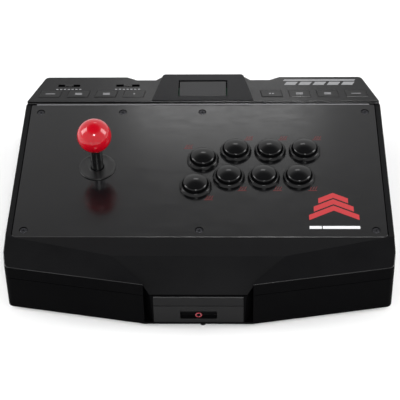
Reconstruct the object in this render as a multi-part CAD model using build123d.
from build123d import *
import math
import os

# Arcade joystick panel: a desk-top controller with a ball-top joystick and eight push buttons.
# Row frame: origin on the table under the middle of the case, +X to the player's right, +Y away
# from the player, +Z up. Panel frame: (u, v, w) from the middle of the glossy sheet, u to the
# right, v up the slope, w out of the panel.

# ---- driving dimensions, mm ----
PANEL_TILT = 4.0            # slope of the panel, degrees, front edge lower
PANEL_Y = 9.25              # middle of the panel
PANEL_Z = 68.84
PANEL_WIDTH = 373.0
PANEL_DEPTH = 196.0
PANEL_CORNER = 4.0
SHEET = 2.0                 # glossy cover sheet
METAL = 1.6                 # steel plate under it
STACK = SHEET + METAL

FOOT = 3.0                  # rubber feet lift the case this much
WALL = 3.0
FLOOR = 2.5
PARTING = 40.0              # height of the line between the two housings
SPLIT_GAP = 0.5             # the shadow line there
HALF_WIDTH = 192.5
REAR_HALF = 174.0
FRONT = -150.2              # front and rear of the case at its bottom edge
REAR = 150.2
CHEVRON = 24.2              # how far the front corners stand back from the middle
CORNER_HALF = 190.0
NOSE_HALF = 53.3            # flat middle of the front
TONGUE_HALF = 44.0          # the bezel in the notch
CHEEK_LIP = 1.0             # housing left beside the bezel
CHEEK_DEPTH = 11.2          # how far the grooves beside it run back
FRONT_LEAN = 4.0 / 50.6     # the front leans back this much per mm of height
REAR_LEAN = 2.0 / 78.0
BLANK_TOP = 100.0
EDGE_ROUND = 0.8

DECK_RISE = 3.0             # the rear deck stands this far above the panel
DECK_V = 99.0               # where it begins
LEDGE = 18.0                # shelf under the edge of the panel
CREASE_HALF = 85.0          # the palm rest's crease: its flat middle
CREASE_Y = -113.7
CREASE_Z = 60.2
TONGUE_Z = 38.6             # top edge of the bezel
TONGUE_Y = -148.5

BUTTON_PITCH = 36.0
UPPER_ROW = (36.0, 23.5)    # second button of each row, the first one stands lower
LOWER_ROW = (29.0, -15.5)
FIRST_OFFSET = (-34.0, -13.0)
BUTTON_HOLE = 15.0          # radii
BUTTON_RIM = 16.6
PLUNGER = 12.3
RIM_RISE = 4.3              # button rim, cap edge and crown above the sheet
DOME_EDGE = 7.4
DOME_TOP = 10.2
SWITCH_W = -25.2            # tip of each button's microswitch

STICK = (-107.5, 0.0)
BALL = 17.5
BALL_W = 45.0               # centre of the ball above the sheet
PIVOT_W = -15.0             # the two tilt axes cross here
SHAFT = 4.0
COVER = 6.5
STICK_HOLE = 12.0
WASHER = 19.0
RUN = 0.05                  # running clearance, radial

KEY_WIDTH = 22.5
KEY_DEPTH = 10.5
KEY_LEAN = 2.5
KEY_PROUD = 0.5             # the keys and knobs stand out of the deck
KNOB_PROUD = 0.9
KEY_U = (75.0, 105.5, 136.0, 167.0)
KEY_V = 111.0
SLOT_V = 125.0
SLOTS = ((-147.5, 24.3), (-82.7, 25.9))
SLOT_DEPTH = 3.8
KNOB = 9.0

CONSOLE_FRONT = (55.3, 100.0, 3.9)      # half width, v and w of the console's front edge
CONSOLE_REAR = (44.0, 139.0, 7.2)
CONSOLE_CORNER = 4.0
PAD = (51.0, 21.6)
PAD_OPENING = (53.4, 24.0)
PAD_CENTRE = (0.0, 118.0)
PAD_SUNK = 0.8
PAD_BOARD_W = -11.2         # top of the touchpad's circuit board under the console's face
KEY_BOARD_W = -9.8

SCREW_U = (-175.0, 0.0, 175.0)
SCREW_FRONT_V = -88.6
SCREW_REAR_V = 85.0
EXTRA_SCREW_U = -86.0
FOOT_PLACES = ((165.0, -112.0), (-165.0, -112.0), (155.0, 125.0), (-155.0, 125.0))
NOSE_FOOT = (4.0, -146.5)
POSTS = ((178.0, -88.0), (-178.0, -88.0), (176.0, 88.0), (-176.0, 88.0), (20.0, 99.0), (30.0, -108.0))
BOARD_POSTS = ((64.0, 119.8), (110.0, 119.8), (168.0, 119.8))

RECESS_Z = 15.3             # middle of the headset recess in the bezel
RECESS = (36.0, 10.4, 5.0)
JACK_Z = 13.6
JACK_FACE = FRONT + 2.4
JACK_BORE = 1.78
JACK_LENGTH = 14.0
USB_Z = 22.0

PANEL = Location((0, PANEL_Y, PANEL_Z), (PANEL_TILT, 0, 0))
LOW = (Align.CENTER, Align.CENTER, Align.MIN)


# ---- helpers ----
def rod(radius, low, high, u=0.0, v=0.0):
    """A cylinder along the third axis from low to high."""
    return Pos(u, v, low) * Cylinder(radius, high - low, align=LOW)


def tube(outer, inner, low, high, u=0.0, v=0.0):
    return rod(outer, low, high, u, v) - rod(inner, low - 1, high + 1, u, v)


def block(x, y, z):
    """A box from three (low, high) pairs."""
    size = [pair[1] - pair[0] for pair in (x, y, z)]
    return Pos(x[0], y[0], z[0]) * Box(*size, align=(Align.MIN, Align.MIN, Align.MIN))


def prism(points, low, high):
    """A polygon in u, v as a solid from w = low to high."""
    face = make_face(Polyline(*[(x, y) for x, y in points], close=True))
    return Pos(0, 0, low) * extrude(face, amount=high - low)


def rounded(width, depth, radius, low, high):
    return Pos(0, 0, low) * extrude(RectangleRounded(width, depth, radius), amount=high - low)


def mirrored(points):
    """Closed outline from its right-hand half, listed from the front to the rear."""
    return points + [(-x, y) for x, y in reversed(points)]


def save(node, shape):
    shape.label = node
    export_step(shape, os.path.join("parts", node + ".step"))


def group(shapes):
    """Several separate solids in one node."""
    return Compound([solid for shape in shapes for solid in shape.solids()])


# ---- outer form ----
def outline(height, inset):
    rise = height - FOOT
    front = FRONT + FRONT_LEAN * rise
    rear = REAR - REAR_LEAN * rise
    right = [
        (NOSE_HALF, front),
        (CORNER_HALF, front + CHEVRON),
        (HALF_WIDTH, front + CHEVRON + 16.0),
        (HALF_WIDTH, 106.0),
        (REAR_HALF, rear),
        (84.0, rear),
        (73.0, rear - 5.0),
        (52.0, rear - 5.0),
        (46.0, rear),
    ]
    face = make_face(Polyline(*mirrored(right), close=True))
    if inset:
        face = offset(face, amount=-inset, kind=Kind.INTERSECTION)
    corners = [vertex for vertex in face.vertices() if abs(vertex.X) > 150]
    return Pos(0, 0, height) * fillet(corners, 6.0 - inset)


def side_plane(side, drop):
    """The palm rest's outer facet: through the crease's end, the panel's corner and the front corner."""
    crease_end = Vector(side * CREASE_HALF, CREASE_Y, CREASE_Z)
    panel_corner = Vector(side * 186.6, PANEL_Y - 97.76, 62.0)
    front_corner = Vector(side * 190.0, -121.5, 53.6)
    normal = (panel_corner - crease_end).cross(front_corner - crease_end).normalized()
    if normal.Z < 0:
        normal = normal * -1
    return Plane(origin=crease_end - normal * drop, z_dir=normal)


def dip(inset):
    """The air over the palm rest's sunk middle."""
    run = TONGUE_Y - CREASE_Y
    fall = CREASE_Z - TONGUE_Z
    length = math.hypot(run, fall)
    plane = Plane(
        origin=(0, CREASE_Y, CREASE_Z), x_dir=(1, 0, 0), z_dir=(0, -fall / length, -run / length)
    )
    cheek = (CREASE_Y - FRONT - CHEEK_DEPTH) * length / -run
    points = [(NOSE_HALF, -1.3 * length), (NOSE_HALF, -cheek), (CREASE_HALF, 0)]
    face = make_face(Polyline(*mirrored(points), close=True))
    if inset:
        face = offset(face, amount=inset, kind=Kind.INTERSECTION)
    return plane.offset(-inset).location * extrude(face, amount=45)


def form(inset, panel_drop, deck_drop, bottom):
    """The case's outer form, or the hollow inside it."""
    solid = loft([outline(bottom, inset), outline(BLANK_TOP, inset)], ruled=True)
    over_panel = block((-300, 300), (-400, DECK_V + (inset and 2.0)), (-panel_drop, 120))
    over_deck = block((-300, 300), (DECK_V - 1.0, 400), (DECK_RISE - deck_drop, 120))
    solid -= PANEL * over_panel
    solid -= PANEL * over_deck
    for side in (1, -1):
        cutter = Box(700, 700, 80, align=LOW)
        solid -= side_plane(side, inset).location * cutter
    return solid - dip(inset)


def cheek_groove(side):
    """The V-shaped groove between the bezel and the end of the front face."""
    rear = FRONT + CHEEK_DEPTH
    lip = TONGUE_HALF + CHEEK_LIP
    points = [(NOSE_HALF, FRONT - 5), (NOSE_HALF, rear), (lip, FRONT + CHEEK_LIP), (lip, FRONT - 5)]
    return prism([(side * x, y) for x, y in points], FOOT + FLOOR, 70)


def key_outline(u, grow=0.0):
    lean = KEY_LEAN / 2 if u < 0 else -KEY_LEAN / 2
    half, deep = KEY_WIDTH / 2 + grow, KEY_DEPTH / 2 + grow
    points = [(-half - lean, -deep), (half - lean, -deep), (half + lean, deep), (-half + lean, deep)]
    return [(u + x, KEY_V + y) for x, y in points]


def key_places():
    return [-u for u in reversed(KEY_U)] + list(KEY_U)


def console_plane():
    rise = CONSOLE_REAR[2] - CONSOLE_FRONT[2]
    run = CONSOLE_REAR[1] - CONSOLE_FRONT[1]
    tilt = math.degrees(math.atan2(rise, run))
    along = (PAD_CENTRE[1] - CONSOLE_FRONT[1]) / run
    return PANEL * Location((0, PAD_CENTRE[1], CONSOLE_FRONT[2] + rise * along), (tilt, 0, 0))


def button_places():
    places = []
    for row in (UPPER_ROW, LOWER_ROW):
        places.append((row[0] + FIRST_OFFSET[0], row[1] + FIRST_OFFSET[1]))
        places += [(row[0] + step * BUTTON_PITCH, row[1]) for step in range(3)]
    return places


def screw_places():
    rows = [(u, v) for v in (SCREW_FRONT_V, SCREW_REAR_V) for u in SCREW_U]
    return rows + [(EXTRA_SCREW_U, SCREW_REAR_V)]


# ---- housings ----
def on_rim(edge):
    """The top edges that are rounded: front, sides and deck, but not the creases of the palm rest."""
    centre, start, end = edge.center(), edge @ 0, edge @ 1
    level = abs(start.Z - end.Z) < 20 and centre.Z > 50
    crease = start.Y < -80 and end.Y < -80 and abs(centre.X) < 150 and centre.Y > -128
    sunk = abs(centre.X) < CREASE_HALF and centre.Y < CREASE_Y
    return level and not crease and not sunk and edge.length > 2.6 and abs(start.Z - end.Z) < 14


def case_parts():
    outer = form(0, 0, 0, FOOT)
    outer = fillet([edge for edge in outer.edges() if on_rim(edge)], EDGE_ROUND)
    hollow = form(WALL, STACK + 3.4, WALL, FOOT + FLOOR)
    nose = block((-TONGUE_HALF, TONGUE_HALF), (FRONT - 5, FRONT + 12), (FOOT + 2.0, TONGUE_Z + 0.1))
    pocket = PANEL * rounded(PANEL_WIDTH + 0.8, PANEL_DEPTH + 0.8, PANEL_CORNER + 0.4, -STACK, 30)
    shelf = PANEL * rounded(PANEL_WIDTH - 2 * LEDGE, PANEL_DEPTH - 2 * LEDGE, 6, -30, 1)
    top_half = block((-300, 300), (-300, 300), (PARTING, 200))
    bottom_half = block((-300, 300), (-300, 300), (-10, PARTING - SPLIT_GAP))
    skin = form(1.5, STACK + 1.0, 1.5, FOOT + 1.0)
    posts = skin & group([rod(5.0, FOOT + 1, 90, x, y) for x, y in POSTS])
    bosses = [PANEL * rod(4.5, -13, -STACK, u, v) for u, v in screw_places()]
    bosses += [PANEL * rod(1.8, -9.8, 0.5, side * u, v) for u, v in BOARD_POSTS for side in (1, -1)]
    frame = block((-NOSE_HALF - 4, NOSE_HALF + 4), (FRONT - 5, FRONT + 14.5), (FOOT + 1, 60)) & skin

    upper = ((outer & top_half) - hollow) + (frame & top_half)
    upper += posts & top_half
    upper = upper - pocket - shelf + (skin & group(bosses))
    upper -= PANEL * group([rod(1.7, -12, 5, u, v) for u, v in screw_places()])
    for u in key_places():
        upper -= PANEL * prism(key_outline(u, 0.35), -3, 8)
    for u, length in SLOTS:
        upper -= PANEL * Pos(u, SLOT_V, 0) * rounded(length, SLOT_DEPTH, 1.0, -3, 8)
    upper -= PANEL * block((-31, 31), (102, 130.5), (-4, 8))
    upper -= group([rod(1.3, PARTING - 1, PARTING + 12, x, y) for x, y in POSTS])
    upper = upper - nose - cheek_groove(1) - cheek_groove(-1)

    lower = ((outer & bottom_half) - hollow) + (frame & bottom_half)
    lower = lower + (posts & bottom_half) - nose - cheek_groove(1) - cheek_groove(-1)
    lower -= group([rod(1.7, -1, PARTING, x, y) + rod(3.2, -1, FOOT + 3.0, x, y) for x, y in POSTS])
    lower += block((-6, 6), (REAR - 16, REAR - 5), (FOOT + 1, USB_Z - 2.6))
    lower -= Pos(0, FRONT + 16, JACK_Z) * Rot(90, 0, 0) * Cylinder(5.2, 20)
    lower -= block((-5.2, 5.2), (REAR - 12, REAR + 5), (USB_Z - 2.2, USB_Z + 2.2))
    lower -= block((-9, 9), (REAR - 1.6, REAR + 5), (USB_Z - 6, USB_Z + 6))
    return upper, lower


def front_bezel():
    section = make_face(Polyline(
        (FRONT + 11.8, FOOT + 2.2), (FRONT + 0.3, FOOT + 2.2), (FRONT + 0.3, 27.4), (FRONT + 0.9, 27.7),
        (FRONT + 0.9, 28.3), (FRONT + 0.5, 28.6), (TONGUE_Y, TONGUE_Z - 0.8), (TONGUE_Y + 0.8, TONGUE_Z),
        (FRONT + 11.8, TONGUE_Z), close=True
    ))
    width = 2 * TONGUE_HALF - 0.4
    body = Pos(-width / 2, 0, 0) * extrude(Plane.YZ * section, amount=width)
    body -= block((-40, 40), (FRONT + 6.5, FRONT + 13), (24, TONGUE_Z - 2.5))
    recess = Pos(0, FRONT + RECESS[2] / 2, RECESS_Z) * Box(RECESS[0], RECESS[2] + 2, RECESS[1])
    body -= fillet(recess.edges().filter_by(Axis.Y), 1.2)
    return body - Pos(0, FRONT + 6, JACK_Z) * Rot(90, 0, 0) * Cylinder(3.2, 20)


def headset_jack():
    """A barrel in the bezel with its body on the bracket behind."""
    along = Location((0, JACK_FACE, JACK_Z), (-90, 0, 0))
    barrel = along * rod(3.15, 0, 11.0)
    body = block((-4.5, 4.5), (FRONT + 14.6, FRONT + 26), (JACK_Z - 4.5, JACK_Z + 4.5))
    neck = along * rod(4.0, 9.5, 12.4)
    return barrel + neck + body - along * rod(JACK_BORE, -2, JACK_LENGTH)


def jack_ring():
    along = Location((0, JACK_FACE, JACK_Z), (90, 0, 0))
    return along * tube(3.3, 2.0, 0.0, 0.6)


def usb_socket():
    shell = block((-4.6, 4.6), (REAR - 12, REAR - 2.8), (USB_Z - 1.7, USB_Z + 1.7))
    shell = fillet(shell.edges().filter_by(Axis.Y), 1.5)
    mouth = block((-4.1, 4.1), (REAR - 9, REAR), (USB_Z - 1.25, USB_Z + 1.25))
    mouth = fillet(mouth.edges().filter_by(Axis.Y), 1.15)
    tongue = block((-3.3, 3.3), (REAR - 9.5, REAR - 4.2), (USB_Z - 0.35, USB_Z + 0.35))
    seat = block((-7, 7), (REAR - 16, REAR - 12), (USB_Z - 2.6, USB_Z + 2.6))
    return shell - mouth + tongue + seat


# ---- panel ----
def panel_holes(shape, low, high):
    for u, v in button_places():
        shape -= rod(BUTTON_HOLE, low, high, u, v)
    return shape - rod(STICK_HOLE, low, high, *STICK)


def metal_plate():
    plate = panel_holes(rounded(PANEL_WIDTH, PANEL_DEPTH, PANEL_CORNER, -STACK, -SHEET), -10, 5)
    return PANEL * (plate - group([rod(2.2, -10, 5, u, v) for u, v in screw_places()]))


def cover_sheet():
    sheet = rounded(PANEL_WIDTH, PANEL_DEPTH, PANEL_CORNER, -SHEET, 0)
    sheet = chamfer(sheet.edges().group_by(Axis.Z)[-1], 0.7)
    sheet = panel_holes(sheet, -10, 5)
    return PANEL * (sheet - group([rod(4.2, -10, 5, u, v) for u, v in screw_places()]))


def plate_screw(u, v):
    head = chamfer(rod(3.6, -SHEET, -0.3).edges().group_by(Axis.Z)[-1], 0.5)
    socket = extrude(RegularPolygon(1.35, 6), amount=2)
    return PANEL * Pos(u, v, 0) * (head + rod(1.6, -11, -SHEET) - Pos(0, 0, -1.5) * socket)


def base_screw(x, y):
    head = rod(2.9, FOOT + 0.8, FOOT + 3.0) + rod(1.25, FOOT + 2, PARTING + 9)
    cross = Pos(0, 0, FOOT) * (Box(3.4, 0.8, 3.4) + Box(0.8, 3.4, 3.4))
    return Pos(x, y, 0) * (head - cross)


def rubber_foot(x, y, radius):
    pad = rod(radius, 0, FOOT, x, y)
    return fillet(pad.edges().group_by(Axis.Z)[0], 0.8)


# ---- deck ----
def console_cover():
    half_front, v_front, _ = CONSOLE_FRONT
    half_rear, v_rear, _ = CONSOLE_REAR
    corners = [(half_front, v_front), (half_rear, v_rear)]
    body = prism(mirrored(corners), DECK_RISE, 30)
    rear_corners = [edge for edge in body.edges().filter_by(Axis.Z) if edge.center().Y > v_rear - 1]
    body = PANEL * fillet(rear_corners, CONSOLE_CORNER)
    body -= console_plane() * block((-200, 200), (-200, 200), (0, 60))
    body -= console_plane() * rounded(*PAD_OPENING, 1.2, -20, 5)
    for u in (-28.3, 28.3):
        for v in (-8, 8):
            body += console_plane() * rod(1.3, PAD_BOARD_W, -1.5, u, v)
    return body


def touchpad():
    pad = rounded(*PAD, 1.0, -PAD_SUNK - 2.2, -PAD_SUNK)
    pad = fillet(pad.edges().group_by(Axis.Z)[-1], 0.4)
    return console_plane() * (pad + rod(2.0, -6.0, -PAD_SUNK - 2.2))


def deck_key(u):
    cap = prism(key_outline(u), -1.2, DECK_RISE + KEY_PROUD)
    cap = chamfer(cap.edges().group_by(Axis.Z)[-1], 0.35)
    flange = prism(key_outline(u, 1.3), -1.6, -0.4)
    return PANEL * (cap + flange + rod(1.6, -4.6, -1.0, u, KEY_V))


def tact_switch():
    """A small dome switch, its top at w = 0."""
    return block((-3, 3), (-3, 3), (-4.5, -1.0)) + rod(1.7, -1.0, 0)


def deck_board(side):
    board = PANEL * block((60, 172), (103.5, 130.0), (KEY_BOARD_W - 1.6, KEY_BOARD_W))
    return board if side > 0 else mirror(board, about=Plane.YZ)


def pad_board():
    return console_plane() * block((-30, 30), (-11, 11), (PAD_BOARD_W - 1.6, PAD_BOARD_W))


def slide_body(u):
    body = block((u - 15, u + 15), (SLOT_V - 4, SLOT_V + 4), (KEY_BOARD_W, -2.6))
    trough = block((u - 12.4, u + 12.4), (SLOT_V - 1.4, SLOT_V + 1.4), (-6, 0))
    return PANEL * (body - trough)


def slide_knob(u):
    top = block((u - KNOB / 2, u + KNOB / 2), (SLOT_V - 1.5, SLOT_V + 1.5), (-0.6, DECK_RISE + KNOB_PROUD))
    top = chamfer(top.edges().group_by(Axis.Z)[-1], 0.4)
    for step in range(-2, 3):
        groove = u + step * 1.4
        top -= block((groove - 0.3, groove + 0.3), (110, 140), (DECK_RISE + KNOB_PROUD / 2, 9))
    plate = block((u - 6.5, u + 6.5), (SLOT_V - 3.2, SLOT_V + 3.2), (-1.6, -0.4))
    return PANEL * (top + plate + block((u - 2, u + 2), (SLOT_V - 0.9, SLOT_V + 0.9), (-5.0, -1.0)))


# ---- push buttons ----
def button_housing(u, v):
    rim = [(BUTTON_HOLE - 0.2, 0), (BUTTON_RIM, 0), (BUTTON_RIM, 1.8), (BUTTON_RIM - 1.6, RIM_RISE),
           (PLUNGER + 1.0, RIM_RISE), (PLUNGER + 0.4, RIM_RISE - 0.6), (PLUNGER + 0.4, -20.0),
           (BUTTON_HOLE - 0.2, -20.0)]
    shell = revolve(Plane.XZ * make_face(Polyline(*rim, close=True)), Axis.Z)
    floor = tube(BUTTON_HOLE - 0.2, 3.6, -22.0, -20.0)
    body = shell + floor
    for turn in (0, 180):
        clip = block((BUTTON_HOLE - 0.4, BUTTON_HOLE + 1.1), (-3, 3), (-8.0, -STACK - 0.1))
        leg = block((8.0, 10.0), (-3, 3), (SWITCH_W - 1.2, -21.0))
        body += Rot(0, 0, turn) * (clip + leg)
    return PANEL * Pos(u, v, 0) * body


def plunger(u, v):
    """The domed cap with its skirt and the stem that works the microswitch."""
    crown = (PLUNGER ** 2 + (DOME_TOP - DOME_EDGE) ** 2) / (2 * (DOME_TOP - DOME_EDGE))
    cap = rod(PLUNGER, -14.0, DOME_TOP + 1) & (Pos(0, 0, DOME_TOP - crown) * Sphere(crown))
    cap -= rod(PLUNGER - 2.0, -15.0, -3.0)
    return PANEL * Pos(u, v, 0) * (cap + rod(3.0, -22.4, -2.5))


def microswitch():
    """Body with three blades below and a small plunger above, top at w = 0."""
    body = block((-10, 10), (-3.2, 3.2), (-12.0, -1.2)) + block((-1.5, 1.5), (-1.2, 1.2), (-1.3, 0))
    for x in (-8, 0.5, 8):
        body += block((x - 1.2, x + 1.2), (-0.25, 0.25), (-17.0, -11.9))
    return body


def button_switch(u, v):
    return PANEL * Pos(u, v, SWITCH_W) * microswitch()


# ---- joystick, drawn upright about its pivot ----
AT_STICK = PANEL * Pos(STICK[0], STICK[1], 0)
AT_PIVOT = PANEL * Pos(STICK[0], STICK[1], PIVOT_W)
SOCKET = 10.4               # radius of the bore round the pivot ball
TRUNNION = 1.5
SLEEVE = 5.5
BLOCK_HALF = 27.0
ACTUATOR_W = (-45.4, -37.4)
GATE_W = (-46.2, -43.0)
GATE_HALF = 12.7
LEVER_SWITCH_W = -39.6
FLANGE_W = -26.0


def ball_top():
    ball = Pos(0, 0, BALL_W) * Sphere(BALL)
    ball -= rod(COVER + 0.1, 0, BALL_W - 14.0)
    return AT_STICK * (ball - rod(SHAFT, 0, BALL_W + 6.0))


def shaft():
    steel = rod(SHAFT, ACTUATOR_W[0] - 3.2, BALL_W + 6.0)
    steel = chamfer(steel.edges().group_by(Axis.Z)[-1], 0.6)
    groove = tube(SHAFT + 1, SHAFT - 0.8, ACTUATOR_W[0] - 1.2, ACTUATOR_W[0] - 0.1)
    return AT_STICK * (steel - groove)


def shaft_cover():
    return AT_STICK * tube(COVER, SHAFT, -3.4, BALL_W - 14.0)


def retaining_clip():
    ring = tube(SHAFT + 2.5, SHAFT - 0.8, ACTUATOR_W[0] - 1.1, ACTUATOR_W[0] - 0.2)
    return AT_STICK * (ring - block((0, 10), (-1.6, 1.6), (-50, -40)))


def pivot_ball():
    ball = Sphere(SOCKET - 0.4) & block((-20, 20), (-20, 20), (-7.5, 7.5))
    slot = block((-7.9, 7.9), (-SLEEVE - RUN, SLEEVE + RUN), (-20, 20))
    ends = Rot(0, 90, 0) * rod(TRUNNION, -15.0, 15.0)
    bores = Rot(90, 0, 0) * rod(TRUNNION + RUN, -20, 20)
    return AT_PIVOT * (ball + ends - slot - bores)


def pivot_sleeve():
    pins = Rot(90, 0, 0) * rod(TRUNNION, -9.3, 9.3)
    flange = rod(7.0, FLANGE_W - PIVOT_W, FLANGE_W - PIVOT_W + 1.5)
    body = rod(SLEEVE, FLANGE_W - PIVOT_W, 9.5) + flange + pins
    return AT_PIVOT * (body - rod(SHAFT + RUN, -30, 30))


def stick_housing():
    body = rounded(2 * BLOCK_HALF, 2 * BLOCK_HALF, 5, -14.0, 7.0)
    body -= rod(SOCKET, -20, 20)
    body -= Rot(0, 90, 0) * rod(TRUNNION + RUN, -16.0, 16.0)
    for u in (-1, 1):
        for v in (-1, 1):
            corner = Pos(u * 22, v * 22, 0)
            body += corner * rod(3.5, -14.0, 9.8)
            body += corner * rod(3.5, GATE_W[1] - PIVOT_W, -13.5)
    return AT_PIVOT * body


def stick_mount_plate():
    plate = rounded(95, 62, 4, -STACK - 1.6, -STACK) - rod(STICK_HOLE, -20, 5)
    for u in (-41, 41):
        for v in (-24, 24):
            plate -= rod(2.2, -20, 5, u, v)
    return AT_STICK * plate


def return_spring():
    """A coil between the sleeve and the actuator; it tilts with the lever."""
    wire_radius = 0.55
    height = FLANGE_W - ACTUATOR_W[1] - 2 * wire_radius - 0.1
    path = Helix(pitch=height / 3.5, height=height, radius=6.0)
    wire = sweep(Plane(origin=path @ 0, z_dir=path % 0) * Circle(wire_radius), path, is_frenet=True)
    return AT_STICK * Pos(0, 0, ACTUATOR_W[1] + wire_radius + 0.05) * wire


def actuator():
    body = tube(8.0, SHAFT + RUN, *ACTUATOR_W)
    body = chamfer(body.edges().group_by(Axis.Z)[0].sort_by(SortBy.LENGTH)[-1], 1.2)
    return AT_STICK * body


def restrictor_gate():
    plate = rounded(2 * BLOCK_HALF, 2 * BLOCK_HALF, 5, *GATE_W)
    return AT_STICK * (plate - rounded(2 * GATE_HALF, 2 * GATE_HALF, 2, -60, -30))


def lever_switch(angle):
    """One of four microswitches round the actuator, its plunger towards the middle."""
    body = block((-10, 10), (-3.2, 3.2), (-9.6, -0.9)) + block((-1.5, 1.5), (-1.2, 1.2), (-1.0, 0))
    return AT_STICK * Rot(0, 0, angle) * Pos(0, GATE_HALF + 0.8, LEVER_SWITCH_W) * Rot(90, 0, 0) * body


def stick_board():
    """Circuit board on the housing's side with the five-pin plug."""
    board = block((BLOCK_HALF, BLOCK_HALF + 1.6), (-22, 22), (-27, -2))
    plug = block((BLOCK_HALF + 1.5, BLOCK_HALF + 8), (-7, 7), (-24, -16))
    return AT_PIVOT * (board + plug)


def dust_washer():
    ring = tube(WASHER, COVER + 0.5, 0.15, 1.2)
    ring = chamfer(ring.edges().group_by(Axis.Z)[-1].sort_by(SortBy.LENGTH)[-1], 0.4)
    return AT_STICK * ring


def dust_slider():
    """Slotted ring in the panel's hole: it follows the lever fore and aft and carries the washer."""
    ring = Pos(0, 0, -3.0) * extrude(SlotOverall(21.2, 16.8), amount=2.75)
    slot = Pos(0, 0, -5) * extrude(SlotOverall(18.2, 2 * (COVER + 0.45)), amount=8)
    return AT_STICK * (ring - slot)


# ---- inside ----
def main_board():
    board = block((-60, 70), (-70, -5), (11.0, 12.6))
    for x in (-55, 65):
        for y in (-65, -10):
            board -= rod(1.8, 0, 20, x, y)
            board += tube(3.4, 1.5, FOOT + FLOOR, 11.0, x, y)
    board += block((-10, 4), (-45, -31), (12.5, 14.0))
    board += block((20, 27), (-50, -36), (12.5, 13.8))
    for x in (-52, -30, 36):
        board += block((x, x + 15), (-17, -11), (12.5, 19.0))
    return board


def harness():
    points = [
        (-44.5, -14, 19.0), (-44.5, -14, 27.0), (-53.0, -5.0, 33.9), (-62.5, 11.7, 33.9), (-72.5, 11.7, 33.9),
    ]
    path = FilletPolyline(*points, radius=3.5)
    return sweep(Plane(origin=path @ 0, z_dir=path % 0) * Circle(1.6), path)


def main():
    os.makedirs("parts", exist_ok=True)
    upper, lower = case_parts()
    save("upper_housing", upper)
    save("lower_housing", lower)
    save("front_bezel", front_bezel())
    save("headset_jack", headset_jack())
    save("jack_ring", jack_ring())
    save("usb_socket", usb_socket())
    save("metal_plate", metal_plate())
    save("cover_sheet", cover_sheet())
    save("plate_screws", group([plate_screw(u, v) for u, v in screw_places()]))
    save("base_screws", group([base_screw(x, y) for x, y in POSTS]))
    feet = [rubber_foot(x, y, 9.0) for x, y in FOOT_PLACES] + [rubber_foot(*NOSE_FOOT, 3.2)]
    save("rubber_feet", group(feet))
    save("console_cover", console_cover())
    save("touchpad", touchpad())
    for number, u in enumerate(key_places(), 1):
        save(f"deck_key_{number}", deck_key(u))
    save("deck_boards", group([deck_board(-1), deck_board(1), pad_board()]))
    switches = [PANEL * Pos(u, KEY_V, KEY_BOARD_W + 4.5) * tact_switch() for u in key_places()]
    switches.append(console_plane() * Pos(0, 0, PAD_BOARD_W + 4.5) * tact_switch())
    save("tact_switches", group(switches))
    save("slide_switches", group([slide_body(u) for u, _ in SLOTS]))
    for number, (u, _) in enumerate(SLOTS, 1):
        save(f"slide_knob_{number}", slide_knob(u))
    for number, (u, v) in enumerate(button_places(), 1):
        save(f"button_housing_{number}", button_housing(u, v))
        save(f"button_plunger_{number}", plunger(u, v))
    save("button_switches", group([button_switch(u, v) for u, v in button_places()]))
    save("ball_top", ball_top())
    save("shaft", shaft())
    save("shaft_cover", shaft_cover())
    save("retaining_clip", retaining_clip())
    save("pivot_ball", pivot_ball())
    save("pivot_sleeve", pivot_sleeve())
    save("return_spring", return_spring())
    save("actuator", actuator())
    save("stick_mount_plate", stick_mount_plate())
    save("stick_housing", stick_housing())
    save("restrictor_gate", restrictor_gate())
    save("lever_switches", group([lever_switch(angle) for angle in (0, 90, 180, 270)]))
    save("stick_board", stick_board())
    save("dust_washer", dust_washer())
    save("dust_slider", dust_slider())
    save("main_board", main_board())
    save("harness", harness())


main()
